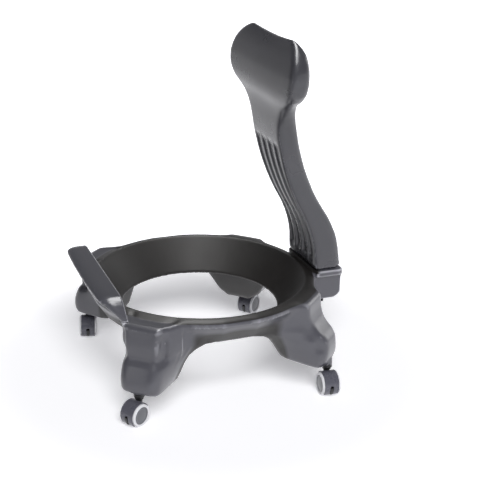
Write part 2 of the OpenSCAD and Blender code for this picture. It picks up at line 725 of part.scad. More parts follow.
base_frame();
front_bar();
bar_pegs();
backrest();
back_bolts();
back_washers();
back_inserts();
at_corner(0) socket();  // front_left_socket
at_corner(0) stem();  // front_left_stem
at_corner(0) grip_ring();  // front_left_grip_ring
at_corner(0) hood();  // front_left_hood
at_corner(0) axle();  // front_left_axle
at_corner(0) brake();  // front_left_brake
at_corner(0) hub(1);  // front_left_hub_a
at_corner(0) tyre(1);  // front_left_tyre_a
at_corner(0) hub(-1);  // front_left_hub_b
at_corner(0) tyre(-1);  // front_left_tyre_b
at_corner(1) socket();  // front_right_socket
at_corner(1) stem();  // front_right_stem
at_corner(1) grip_ring();  // front_right_grip_ring
at_corner(1) hood();  // front_right_hood
at_corner(1) axle();  // front_right_axle
at_corner(1) brake();  // front_right_brake
at_corner(1) hub(1);  // front_right_hub_a
at_corner(1) tyre(1);  // front_right_tyre_a
at_corner(1) hub(-1);  // front_right_hub_b
at_corner(1) tyre(-1);  // front_right_tyre_b
at_corner(2) socket();  // rear_left_socket
at_corner(2) stem();  // rear_left_stem
at_corner(2) grip_ring();  // rear_left_grip_ring
at_corner(2) hood();  // rear_left_hood
at_corner(2) axle();  // rear_left_axle
at_corner(2) brake();  // rear_left_brake
at_corner(2) hub(1);  // rear_left_hub_a
at_corner(2) tyre(1);  // rear_left_tyre_a
at_corner(2) hub(-1);  // rear_left_hub_b
at_corner(2) tyre(-1);  // rear_left_tyre_b
at_corner(3) socket();  // rear_right_socket
at_corner(3) stem();  // rear_right_stem
at_corner(3) grip_ring();  // rear_right_grip_ring
at_corner(3) hood();  // rear_right_hood
at_corner(3) axle();  // rear_right_axle
at_corner(3) brake();  // rear_right_brake
at_corner(3) hub(1);  // rear_right_hub_a
at_corner(3) tyre(1);  // rear_right_tyre_a
at_corner(3) hub(-1);  // rear_right_hub_b
at_corner(3) tyre(-1);  // rear_right_tyre_b
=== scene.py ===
"""Balance ball chair frame: moulded ring base, hold-in bar, fluted backrest, twin-wheel casters."""
import logging
import math
from dataclasses import dataclass, field
from enum import Enum
from functools import cache
from typing import Callable, Optional, Sequence

import bmesh
import bpy
from mathutils import Matrix, Vector
from mathutils.kdtree import KDTree


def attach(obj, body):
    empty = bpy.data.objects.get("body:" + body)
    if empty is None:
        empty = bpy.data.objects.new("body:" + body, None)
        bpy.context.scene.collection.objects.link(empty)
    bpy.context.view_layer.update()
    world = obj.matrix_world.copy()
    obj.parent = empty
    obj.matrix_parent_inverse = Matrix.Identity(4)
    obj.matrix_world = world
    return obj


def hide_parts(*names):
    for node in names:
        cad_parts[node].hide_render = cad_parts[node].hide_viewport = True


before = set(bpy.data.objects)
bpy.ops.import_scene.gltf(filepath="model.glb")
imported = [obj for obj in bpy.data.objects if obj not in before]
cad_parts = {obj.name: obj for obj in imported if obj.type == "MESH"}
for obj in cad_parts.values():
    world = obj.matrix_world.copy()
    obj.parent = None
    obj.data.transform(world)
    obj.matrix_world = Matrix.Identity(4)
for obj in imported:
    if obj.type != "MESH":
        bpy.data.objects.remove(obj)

log = logging.getLogger("ball_chair")

Point = tuple[float, float, float]
Profile = Sequence[tuple[float, float]]
Share = Callable[[Vector], float]
FaceTest = Callable[[float, float, float], bool]

MM = 0.001
# Where the ring's centre and the four casters' stems stand
RING_Y_MM = -23.5
LEG_X_MM, FRONT_LEG_Y_MM, REAR_LEG_Y_MM = 231.1, -241.0, 204.8
LEG_SPOTS_MM = tuple((x, y) for y in (FRONT_LEG_Y_MM, REAR_LEG_Y_MM)
                     for x in (LEG_X_MM, -LEG_X_MM))
# The legs' relaxed zone: out from the stem, out from the bore, up from the foot, up to the rim
LEG_OUT_MM, LEG_BORE_MM, LEG_FOOT_MM, LEG_RIM_MM = (62, 92), (16, 26), (62, 80), (205, 222)
# The backrest's head, from the top of the flutes up
HEAD_MM = (560, 630)
# Which way the front left leg's outer face looks, and how squarely a face must look that way
OUTWARD, FACING = (0.73, -0.68), (0.1, 0.6)
# The Mix node's two colour inputs and its colour output
MIX_A, MIX_B, MIX_OUT = 6, 7, 2


class Body(str, Enum):
    """The bodies that new pieces ride on; all but the base have a corner's name before theirs."""

    BASE = "base"
    FORK = "fork"
    WHEEL_A = "wheel_a"
    WHEEL_B = "wheel_b"


class Corner(str, Enum):
    """The chair's four casters, named from the sitter's own left and right."""

    FRONT_LEFT = "front_left"
    FRONT_RIGHT = "front_right"
    REAR_LEFT = "rear_left"
    REAR_RIGHT = "rear_right"


# ---- materials -------------------------------------------------------------------------------


def linear(hex_colour: str) -> tuple[float, float, float, float]:
    """Turns an sRGB hex colour into linear RGBA.

    Args:
        hex_colour: Six hex digits with a leading #.

    Returns:
        The linear colour with an alpha of 1.
    """
    parts = [int(hex_colour[i:i + 2], 16) / 255 for i in (1, 3, 5)]
    lin = [c / 12.92 if c <= 0.04045 else ((c + 0.055) / 1.055) ** 2.4 for c in parts]
    return (lin[0], lin[1], lin[2], 1.0)


def add_node(tree: bpy.types.NodeTree, kind: str, settings: Optional[dict] = None,
             links: Optional[dict] = None) -> bpy.types.Node:
    """Adds one shader node with its settings and incoming links.

    Args:
        tree: The node tree.
        kind: The node's type name.
        settings: Attributes, or input values where the key is an input's name or number.
        links: Input name or number to the output socket that feeds it.

    Returns:
        The new node.
    """
    node = tree.nodes.new(kind)
    for key, value in (settings or {}).items():
        if isinstance(key, str) and hasattr(node, key):
            setattr(node, key, value)
        else:
            node.inputs[key].default_value = value
    for key, socket in (links or {}).items():
        tree.links.new(socket, node.inputs[key])
    return node


@dataclass(frozen=True)
class Moulding:
    """A moulded or plated surface: colour with slight drift, fine grain and soft unevenness.

    grain_mm is the spacing of the mould's texture, drawn as coarse as it needs to show.
    edge_highlight is how far highlight_colour, a painted highlight, covers a convex edge, over the
    curvatures from edge_low to edge_high, where 0.5 is flat.
    """

    name: str
    colour: str
    drift: str
    roughness: float
    rough_swing: float = 0.06
    grain_mm: float = 1.1
    grain_depth_mm: float = 0.012
    wave_mm: float = 45.0
    wave_depth_mm: float = 0.10
    metallic: float = 0.0
    ior: float = 1.5
    edge_highlight: float = 0.0
    highlight_colour: str = "#c4c4cc"
    edge_low: float = 0.516
    edge_high: float = 0.548

    @cache
    def build(self) -> bpy.types.Material:
        """Makes the material, once.

        Returns:
            The material with its nodes.
        """
        mat = bpy.data.materials.new(self.name)
        mat.use_nodes = True
        tree = mat.node_tree
        tree.nodes.clear()
        place = add_node(tree, "ShaderNodeTexCoord").outputs["Object"]
        # Slow drift of the colour where the melt cooled unevenly
        slow = add_node(tree, "ShaderNodeTexNoise",
                        {"Scale": 1000 / self.wave_mm / 2, "Detail": 3.0, "Roughness": 0.55},
                        {"Vector": place})
        tone = add_node(tree, "ShaderNodeMix",
                        {"data_type": "RGBA", MIX_A: linear(self.colour),
                         MIX_B: linear(self.drift)}, {"Factor": slow.outputs["Fac"]})
        # Painted highlight: convex edges are painted paler, standing in for the bright highlights
        # along them
        bend = add_node(tree, "ShaderNodeNewGeometry").outputs["Pointiness"]
        edge = add_node(tree, "ShaderNodeMapRange",
                        {"From Min": self.edge_low, "From Max": self.edge_high,
                         "To Min": 0.0, "To Max": self.edge_highlight}, {"Value": bend})
        highlit = add_node(tree, "ShaderNodeMix",
                        {"data_type": "RGBA", MIX_B: linear(self.highlight_colour)},
                        {"Factor": edge.outputs["Result"], MIX_A: tone.outputs[MIX_OUT]})
        colour, extra = self.tint(tree, place, highlit.outputs[MIX_OUT])
        # Fine grain of the mould's steel
        grain = add_node(tree, "ShaderNodeTexNoise",
                         {"Scale": 1000 / self.grain_mm, "Detail": 2.0, "Roughness": 0.6},
                         {"Vector": place})
        rough = add_node(tree, "ShaderNodeMapRange",
                         {"From Min": 0.3, "From Max": 0.7,
                          "To Min": self.roughness - self.rough_swing,
                          "To Max": self.roughness + self.rough_swing},
                         {"Value": slow.outputs["Fac"]})
        wave = add_node(tree, "ShaderNodeTexNoise",
                        {"Scale": 1000 / self.wave_mm, "Detail": 1.0}, {"Vector": place})
        low = add_node(tree, "ShaderNodeBump",
                       {"Strength": 1.0, "Distance": self.wave_depth_mm * MM},
                       {"Height": wave.outputs["Fac"]})
        fine = add_node(tree, "ShaderNodeBump",
                        {"Strength": 1.0, "Distance": self.grain_depth_mm * MM},
                        {"Height": grain.outputs["Fac"], "Normal": low.outputs["Normal"]})
        dull = add_node(tree, "ShaderNodeMath", {"operation": "ADD", 1: 0.0},
                        {0: rough.outputs["Result"], **({1: extra} if extra else {})})
        surface = add_node(tree, "ShaderNodeBsdfPrincipled",
                           {"Metallic": self.metallic, "IOR": self.ior},
                           {"Base Color": colour, "Roughness": dull.outputs[0],
                            "Normal": fine.outputs["Normal"]})
        add_node(tree, "ShaderNodeOutputMaterial", {}, {"Surface": surface.outputs["BSDF"]})
        return mat

    def tint(self, tree: bpy.types.NodeTree, place: bpy.types.NodeSocket,
             tone: bpy.types.NodeSocket
             ) -> tuple[bpy.types.NodeSocket, Optional[bpy.types.NodeSocket]]:
        """Returns the colour as it is and no extra roughness; a moulding with painted shade
        overrides this.
        """
        return tone, None


@dataclass(frozen=True)
class SeatMoulding(Moulding):
    """The base's moulding; the ball seat and its rim's top are duller and painted darker, as
    painted shade for the little light that falls on these up-facing faces.
    """

    # Painted shade: the darker colour of the seat and the rim's top
    seat_shade_colour: str = "#1e1c1b"
    seat_rough: float = 0.2
    seat_r_mm: float = 258.0
    rim_w_mm: float = 26.0
    rim_low_mm: float = 219.0
    rim_high_mm: float = 225.0
    fade_mm: float = 4.0
    centre_y_mm: float = RING_Y_MM

    def tint(self, tree: bpy.types.NodeTree, place: bpy.types.NodeSocket,
             tone: bpy.types.NodeSocket
             ) -> tuple[bpy.types.NodeSocket, Optional[bpy.types.NodeSocket]]:
        """Paints shade on the surface inside the rim, as a darker colour, and dulls it.

        Args:
            tree: The material's node tree.
            place: Object coordinates.
            tone: The colour of the moulding.

        Returns:
            The colour with the seat's painted shade, and the seat's extra roughness.
        """
        centred = add_node(tree, "ShaderNodeMapping",
                           {"Location": (0, -self.centre_y_mm * MM, 0), "Scale": (1, 1, 0)},
                           {"Vector": place})
        radius = add_node(tree, "ShaderNodeVectorMath", {"operation": "LENGTH"},
                          {0: centred.outputs["Vector"]})
        height = add_node(tree, "ShaderNodeSeparateXYZ", {}, {"Vector": place}).outputs["Z"]
        # The painted shade reaches further out on the rim's top than on the wall below it
        top = add_node(tree, "ShaderNodeMapRange",
                       {"From Min": self.rim_low_mm * MM, "From Max": self.rim_high_mm * MM,
                        "To Min": 0.0, "To Max": -self.rim_w_mm * MM}, {"Value": height})
        reach = add_node(tree, "ShaderNodeMath", {"operation": "ADD"},
                         {0: radius.outputs["Value"], 1: top.outputs["Result"]})
        zone = add_node(tree, "ShaderNodeMapRange",
                        {"From Min": (self.seat_r_mm - self.fade_mm) * MM,
                         "From Max": (self.seat_r_mm + self.fade_mm) * MM,
                         "To Min": 1.0, "To Max": 0.0}, {"Value": reach.outputs[0]})
        # Painted shade: the seat's darker colour laid over the moulding's own
        shaded = add_node(tree, "ShaderNodeMix",
                         {"data_type": "RGBA", MIX_B: linear(self.seat_shade_colour)},
                         {"Factor": zone.outputs["Result"], MIX_A: tone})
        dull = add_node(tree, "ShaderNodeMath", {"operation": "MULTIPLY", 1: self.seat_rough},
                        {0: zone.outputs["Result"]})
        return shaded.outputs[MIX_OUT], dull.outputs[0]


# Blow-moulded polyethylene, charcoal, from a blasted mould: satin, with long soft highlights;
# its convex edges carry a painted highlight, and its seat and rim top painted shade
SHELL = SeatMoulding("blow_moulded_polyethylene", "#53535a", "#4b4b51", 0.31, rough_swing=0.03,
                     ior=1.54, edge_highlight=0.8)
# The same resin in the front bar, handled more often: the same grey, a little glossier;
# its convex edges carry a painted highlight
BAR = Moulding("blow_moulded_bar", "#53535a", "#4d4d53", 0.24, rough_swing=0.03, ior=1.54,
               edge_highlight=0.8)
# The same resin in the backrest's finer mould: slightly darker and more even;
# its convex edges carry a painted highlight
BACK = Moulding("blow_moulded_back", "#434348", "#3d3d42", 0.29, rough_swing=0.03, ior=1.54,
                edge_highlight=0.6)
# Glass-filled nylon of the hoods: dark grey with a faint blue, satin
NYLON = Moulding("moulded_nylon_hood", "#5a5a64", "#53535c", 0.28, grain_mm=0.5, wave_mm=14,
                 wave_depth_mm=0.02)
# Black nylon of sockets, collars and brake levers: near black and duller
BLACK = Moulding("moulded_nylon_black", "#121214", "#0e0e10", 0.48, grain_mm=0.5,
                 grain_depth_mm=0.01, wave_mm=12, wave_depth_mm=0.02)
# Polypropylene hub caps: mid grey and smooth
CAP = Moulding("moulded_polypropylene_cap", "#5f6167", "#58595e", 0.34, grain_mm=0.5,
               grain_depth_mm=0.008, wave_mm=12, wave_depth_mm=0.02)
# Polyurethane treads: light grey, soft sheen, faintly dusty
TREAD = Moulding("cast_polyurethane_tread", "#e4e4e8", "#dcdce0", 0.45, grain_mm=0.6,
                 grain_depth_mm=0.01, wave_mm=10, wave_depth_mm=0.03)
# Zinc-plated steel of stems and axles: cool grey, faint turning marks
ZINC = Moulding("zinc_plated_steel", "#9b9ca1", "#8d8e93", 0.30, grain_mm=0.3,
                grain_depth_mm=0.004, wave_mm=8, wave_depth_mm=0.01, metallic=1.0)
# Black-oxide steel of the bolts: near black with a dull gleam
OXIDE = Moulding("black_oxide_steel", "#28282b", "#202022", 0.42, grain_mm=0.3,
                 grain_depth_mm=0.006, wave_mm=8, wave_depth_mm=0.01, metallic=1.0)
# Turned brass of the threaded inserts: warm and bright
BRASS = Moulding("turned_brass", "#b5924c", "#a5843f", 0.28, grain_mm=0.3,
                 grain_depth_mm=0.004, wave_mm=8, wave_depth_mm=0.01, metallic=1.0)


# ---- modelling helpers -----------------------------------------------------------------------


def clear_selection() -> None:
    """Leaves edit mode and selects nothing."""
    if bpy.context.mode != "OBJECT":
        bpy.ops.object.mode_set(mode="OBJECT")
    bpy.ops.object.select_all(action="DESELECT")


def only(obj: bpy.types.Object) -> None:
    """Selects one object alone and makes it active."""
    clear_selection()
    obj.select_set(True)
    bpy.context.view_layer.objects.active = obj


def settle(obj: bpy.types.Object, name: str) -> bpy.types.Object:
    """Names an object and puts its place into its mesh.

    Args:
        obj: The object.
        name: Its name.

    Returns:
        The same object at the origin, unturned and unscaled.
    """
    bpy.context.view_layer.update()
    obj.data.transform(obj.matrix_world)
    obj.matrix_world = Matrix.Identity(4)
    obj.name = name
    obj.data.name = name
    return obj


def modify(obj: bpy.types.Object, kind: str, **values: object) -> None:
    """Adds a modifier and applies it.

    Args:
        obj: The object.
        kind: The modifier's type.
        **values: Its settings.
    """
    only(obj)
    mod = obj.modifiers.new(kind.lower(), kind)
    for key, value in values.items():
        setattr(mod, key, value)
    bpy.ops.object.modifier_apply(modifier=mod.name)


def dress(obj: bpy.types.Object, material: bpy.types.Material) -> None:
    """Gives an object one material on all its faces.

    Args:
        obj: The object.
        material: The material.
    """
    obj.data.materials.clear()
    obj.data.materials.append(material)
    for poly in obj.data.polygons:
        poly.material_index = 0


def dress_node(node: str, material: bpy.types.Material) -> None:
    """Gives a carried-over CAD node a material.

    Args:
        node: The node.
        material: Its material.
    """
    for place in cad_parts[node].material_slots:
        place.link = "OBJECT"
        place.material = material


def repaint(obj: bpy.types.Object, material: bpy.types.Material, inside: FaceTest) -> None:
    """Gives a second material to some of an object's faces.

    Args:
        obj: The object, which has its first material.
        material: The second material.
        inside: Test of the middle of a face, in millimetres.
    """
    obj.data.materials.append(material)
    for poly in obj.data.polygons:
        if inside(*(c / MM for c in poly.center)):
            poly.material_index = 1


def turned(name: str, profile: Profile, steps: int, smooth_deg: float = 32.0,
           weld_mm: float = 0.002) -> bpy.types.Object:
    """Makes a turned piece about the Z axis, spun from a closed profile.

    Args:
        name: The piece's name.
        profile: Closed outline as (radius, height) in millimetres.
        steps: Steps round the axis.
        smooth_deg: Edges flatter than this are shaded smooth.
        weld_mm: Points closer than this become one.

    Returns:
        The spun object.
    """
    clear_selection()
    # The circle gives the loop of edges; its points then move to the profile's
    bpy.ops.mesh.primitive_circle_add(vertices=len(profile), radius=10 * MM)
    obj = bpy.context.object
    for vert, (radius, height) in zip(obj.data.vertices, profile):
        vert.co = (radius * MM, 0, height * MM)
    bpy.ops.object.mode_set(mode="EDIT")
    bpy.ops.mesh.select_all(action="SELECT")
    bpy.ops.mesh.spin(steps=steps, angle=2 * math.pi, center=(0, 0, 0), axis=(0, 0, 1))
    bpy.ops.mesh.select_all(action="SELECT")
    bpy.ops.mesh.remove_doubles(threshold=weld_mm * MM)
    bpy.ops.mesh.dissolve_degenerate(threshold=weld_mm * MM)
    bpy.ops.mesh.normals_make_consistent(inside=False)
    bpy.ops.object.mode_set(mode="OBJECT")
    bpy.ops.object.shade_smooth_by_angle(angle=math.radians(smooth_deg))
    return settle(obj, name)


def crease_tree(obj: bpy.types.Object, crease_deg: float, step_mm: float = 1.5) -> KDTree:
    """Finds the creases of a solid, as points along them.

    Args:
        obj: The merged solid.
        crease_deg: Angle between faces from which an edge is a crease of the real moulding.
        step_mm: Spacing of the points.

    Returns:
        A search tree of the points.
    """
    mesh = bmesh.new()
    mesh.from_mesh(obj.data)
    spots: list[Vector] = []
    for edge in mesh.edges:
        if len(edge.link_faces) == 2 and edge.calc_face_angle() > math.radians(crease_deg):
            start, end = edge.verts[0].co, edge.verts[1].co
            steps = max(1, int((end - start).length / (step_mm * MM)))
            spots += [start.lerp(end, i / steps) for i in range(steps + 1)]
    mesh.free()
    # One point far away, so that a solid without creases has a nearest one too
    spots.append(Vector((9, 9, 9)))
    tree = KDTree(len(spots))
    for index, spot in enumerate(spots):
        tree.insert(spot, index)
    tree.balance()
    return tree


def ease(value: float, low: float, high: float) -> float:
    """Returns 0 below low, 1 above high, and a soft step between."""
    share = min(1.0, max(0.0, (value - low) / (high - low)))
    return share * share * (3 - 2 * share)


def leg_gap(x_mm: float, y_mm: float) -> float:
    """Returns the distance from the nearest leg's stem, seen from above, in millimetres."""
    return min(math.hypot(x_mm - a, y_mm - b) for a, b in LEG_SPOTS_MM)


def leg_share(spot: Vector) -> float:
    """Returns 1 on the legs between foot and rim, and 0 away from them and round their bores."""
    x, y, z = (c / MM for c in spot)
    gap = leg_gap(x, y)
    share = (1 - ease(gap, *LEG_OUT_MM)) * ease(gap, *LEG_BORE_MM)
    share *= ease(z, *LEG_FOOT_MM) * (1 - ease(z, *LEG_RIM_MM))
    return share


def head_share(spot: Vector) -> float:
    """Returns 1 on the backrest's head and 0 from the top of its flutes down."""
    return ease(spot.z / MM, *HEAD_MM)


def calm_share(tree: KDTree, near_mm: float, far_mm: float) -> Share:
    """Makes the share of a point by its distance from the creases.

    Args:
        tree: The creases.
        near_mm: Up to this distance the share is 0.
        far_mm: From this distance on it is 1.

    Returns:
        The function that gives a point's share.
    """
    def share(spot: Vector) -> float:
        """Returns the share of one point."""
        gap = tree.find(spot)[2] / MM
        return min(1.0, max(0.0, (gap - near_mm) / (far_mm - near_mm)))

    return share


def relax(obj: bpy.types.Object, passes: int, share: Share, steps: int = 8) -> None:
    """Smooths a skin more in some places than in others.

    Args:
        obj: The skin.
        passes: Rounds of smoothing.
        share: How far a point takes part, from 0 to 1.
        steps: Into how many steps the shares are rounded, which keeps the marking quick.
    """
    levels: list[list[int]] = [[] for _ in range(steps + 1)]
    for vert in obj.data.vertices:
        levels[round(share(vert.co) * steps)].append(vert.index)
    group = obj.vertex_groups.new(name="share")
    for level, members in enumerate(levels):
        if members and level:
            group.add(members, level / steps, "REPLACE")
    modify(obj, "SMOOTH", factor=0.5, iterations=passes, vertex_group=group.name)
    obj.vertex_groups.clear()


def fill_waists(obj: bpy.types.Object, depth_mm: float = 5.0, low_mm: float = 140.0,
                high_mm: float = 226.0, reach_mm: float = 95.0) -> None:
    """Fills the front legs' outer faces out between the foot's step and the rim.

    Args:
        obj: The base's skin.
        depth_mm: How far the fullest point moves.
        low_mm: Height of the step.
        high_mm: Height of the rim.
        reach_mm: How far from the leg's stem a point still moves.
    """
    # All moves are found first: reading a normal after a move would work all of them out again
    moves: list[tuple[int, Vector]] = []
    for vert in obj.data.vertices:
        x, y, z = (c / MM for c in vert.co)
        gap = math.hypot(abs(x) - LEG_X_MM, y - FRONT_LEG_Y_MM)
        if not low_mm < z < high_mm or gap > reach_mm:
            continue
        outward = Vector((math.copysign(OUTWARD[0], x), OUTWARD[1], 0))
        swell = math.sin(math.pi * (z - low_mm) / (high_mm - low_mm)) ** 2
        move = depth_mm * MM * swell * ease(vert.normal.dot(outward), *FACING)
        moves.append((vert.index, Vector((vert.normal.x, vert.normal.y, 0)) * move))
    for index, move in moves:
        obj.data.vertices[index].co += move


@dataclass(frozen=True)
class Skinning:
    """How a moulded skin is drawn over a CAD solid.

    voxel_mm is the size of its cells. passes are the rounds of relaxing all over, leg_passes and
    head_passes those on the base's legs and the backrest's head alone, and calm_passes those away
    from creases: edges sharper than crease_deg, which hold their shape up to near_mm and let go
    at far_mm. Points of the solid closer than weld_mm are one.
    """

    voxel_mm: float
    passes: int
    leg_passes: int = 0
    head_passes: int = 0
    calm_passes: int = 0
    crease_deg: float = 40.0
    near_mm: float = 1.0
    far_mm: float = 9.0
    weld_mm: float = 0.005

    def draw(self, node: str, name: str) -> bpy.types.Object:
        """Draws an even mesh over a solid, relaxed as a mould's corners are.

        Args:
            node: The CAD node that the skin stands for.
            name: The piece's name.

        Returns:
            The skin, at the origin.
        """
        obj = bpy.data.objects.new(name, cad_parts[node].data.copy())
        bpy.context.scene.collection.objects.link(obj)
        only(obj)
        bpy.ops.object.mode_set(mode="EDIT")
        bpy.ops.mesh.select_all(action="SELECT")
        bpy.ops.mesh.remove_doubles(threshold=self.weld_mm * MM)
        bpy.ops.object.mode_set(mode="OBJECT")
        creases = crease_tree(obj, self.crease_deg) if self.calm_passes else None
        modify(obj, "REMESH", mode="VOXEL", voxel_size=self.voxel_mm * MM, use_smooth_shade=True)
        if creases:
            relax(obj, self.calm_passes, calm_share(creases, self.near_mm, self.far_mm))
        modify(obj, "SMOOTH", factor=0.5, iterations=self.passes)
        if self.head_passes:
            relax(obj, self.head_passes, head_share)
        if self.leg_passes:
            relax(obj, self.leg_passes, leg_share)
            fill_waists(obj)
        for poly in obj.data.polygons:
            poly.use_smooth = True
        log.info("%s: %d faces", name, len(obj.data.polygons))
        return settle(obj, name)


# ---- the chair's sub-assemblies --------------------------------------------------------------


@dataclass
class Shell:
    """A hollow blow moulding that stands for one CAD solid.

    Faces nearer than socket_r_mm to a leg's stem and below socket_top_mm are the black bosses
    that the casters' stems go up through; a shell with a radius of 0 has none.
    """

    node: str
    name: str
    finish: Moulding
    slot: str
    skinning: Skinning
    socket_r_mm: float = 0.0
    socket_top_mm: float = 69.0

    def on_socket(self, x: float, y: float, z: float) -> bool:
        """Returns whether a point in millimetres lies on a caster's boss."""
        return leg_gap(x, y) < self.socket_r_mm and z < self.socket_top_mm

    def build(self) -> bpy.types.Object:
        """Makes, dresses and fastens the moulding.

        Returns:
            The finished piece.
        """
        piece = self.skinning.draw(self.node, self.name)
        dress(piece, self.finish.build())
        if self.socket_r_mm:
            repaint(piece, BLACK.build(), self.on_socket)
        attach(piece, Body.BASE.value)
        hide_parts(self.node)
        return piece


@dataclass
class CasterStation:
    """Where one caster stands and which way it points."""

    corner: Corner
    x_mm: float
    y_mm: float
    heading_deg: float

    def matrix(self) -> Matrix:
        """Returns the transform from the caster's own frame to the chair's."""
        turn = Matrix.Rotation(math.radians(self.heading_deg), 4, "Z")
        return Matrix.Translation((self.x_mm * MM, self.y_mm * MM, 0)) @ turn


@dataclass
class CasterParts:
    """The twin-wheel caster, modelled once about its swivel axis and copied to each corner.

    All sizes are in millimetres.
    """

    wheel_r: float = 25.8
    wheel_w: float = 14.0
    hub_r: float = 20.0
    trail: float = 15.0
    web_t: float = 13.6
    side_gap: float = 0.4
    bore_r: float = 3.05
    foot_h: float = 58.0
    collar_reach: float = 8.0
    collar_low: float = 41.0
    shoulder_r: float = 2.6
    inner_r: float = 1.6
    hood_skinning: Skinning = Skinning(0.62, 2, calm_passes=8, crease_deg=40, near_mm=0.4,
                                       far_mm=2.0)

    def on_wheel(self, obj: bpy.types.Object, side: int) -> bpy.types.Object:
        """Stands a turned piece on the axle, on one side of the hood.

        Args:
            obj: Piece turned about Z, its inner face at zero height.
            side: 1 for the wheel towards +Y in the caster's frame, or -1.

        Returns:
            The same piece, in the caster's frame.
        """
        turn = Matrix.Rotation(math.radians(-90 * side), 4, "X")
        shift = Matrix.Translation((self.trail * MM, side * (self.web_t / 2 + self.side_gap) * MM,
                                    self.wheel_r * MM))
        obj.data.transform(shift @ turn)
        return obj

    def tyre(self, side: int) -> bpy.types.Object:
        """Makes one tread with rounded shoulders and a fine mould line.

        Args:
            side: Which wheel.

        Returns:
            The tread.
        """
        r, w, h = self.wheel_r, self.wheel_w, self.hub_r
        outer_r, inner_r = self.shoulder_r, self.inner_r
        shoulder = [(r - outer_r + outer_r * math.sin(math.radians(a)),
                     w - outer_r + outer_r * math.cos(math.radians(a))) for a in range(0, 91, 15)]
        inner = [(r - inner_r + inner_r * math.sin(math.radians(a)),
                  inner_r - inner_r * math.cos(math.radians(a))) for a in range(0, 91, 18)]
        mould_line = [(r, w * 0.45), (r - 0.12, w * 0.47), (r, w * 0.49)]
        outline = ([(h, 0.1)] + inner + mould_line + shoulder[::-1]
                   + [(h + 1.0, w), (h + 0.5, w - 0.3), (h, w - 0.4)])
        return self.on_wheel(turned("tyre", outline, 128), side)

    def hub(self, side: int) -> bpy.types.Object:
        """Makes one hub with its cap: a crowned disc with a raised rim and a soft boss.

        Args:
            side: Which wheel.

        Returns:
            The hub.
        """
        w, h, bore = self.wheel_w, self.hub_r, self.bore_r
        outline = [(bore, 0), (h - 0.02, 0), (h - 0.02, w - 1.2), (h - 0.4, w - 0.9),
                   (h - 0.9, w - 0.5), (h - 1.6, w - 0.25), (h - 2.6, w - 0.2), (h - 3.4, w - 0.35),
                   (h - 4.0, w - 0.75), (h - 5.0, w - 0.9), (h - 8, w - 0.55),
                   (h - 12, w - 0.2), (h - 16, w - 0.02), (0.3, w), (0.3, 12.0), (bore, 11.9)]
        return self.on_wheel(turned("hub", outline, 128), side)

    def stem(self) -> bpy.types.Object:
        """Makes the plated stem with its groove and turned chamfers."""
        top = self.foot_h + 24
        outline = [(0.3, 24), (5.2, 24), (5.5, 24.6), (5.5, top - 4.2), (5.0, top - 3.6),
                   (4.9, top - 3), (5.0, top - 2.4), (5.5, top - 1.8), (5.5, top - 1), (4.6, top),
                   (0.3, top)]
        return turned("stem", outline, 64)

    def socket(self) -> bpy.types.Object:
        """Makes the black socket sleeve with its rounded flange."""
        f = self.foot_h
        outline = [(5.56, f - 2.45), (9.2, f - 2.45), (9.8, f - 2.1), (10, f - 1.3),
                   (10, f - 0.05), (8.44, f - 0.05), (8.44, f + 26.8), (0.3, f + 26.8),
                   (0.3, f + 24.05), (6.5, f + 24.05), (6.5, f + 18), (5.56, f + 17.9)]
        return turned("socket", outline, 64)

    def on_collar(self, x: float, y: float, z: float) -> bool:
        """Returns whether a point of the hood, in millimetres, lies on its black collar."""
        return math.hypot(x, y) < self.collar_reach and z > self.collar_low


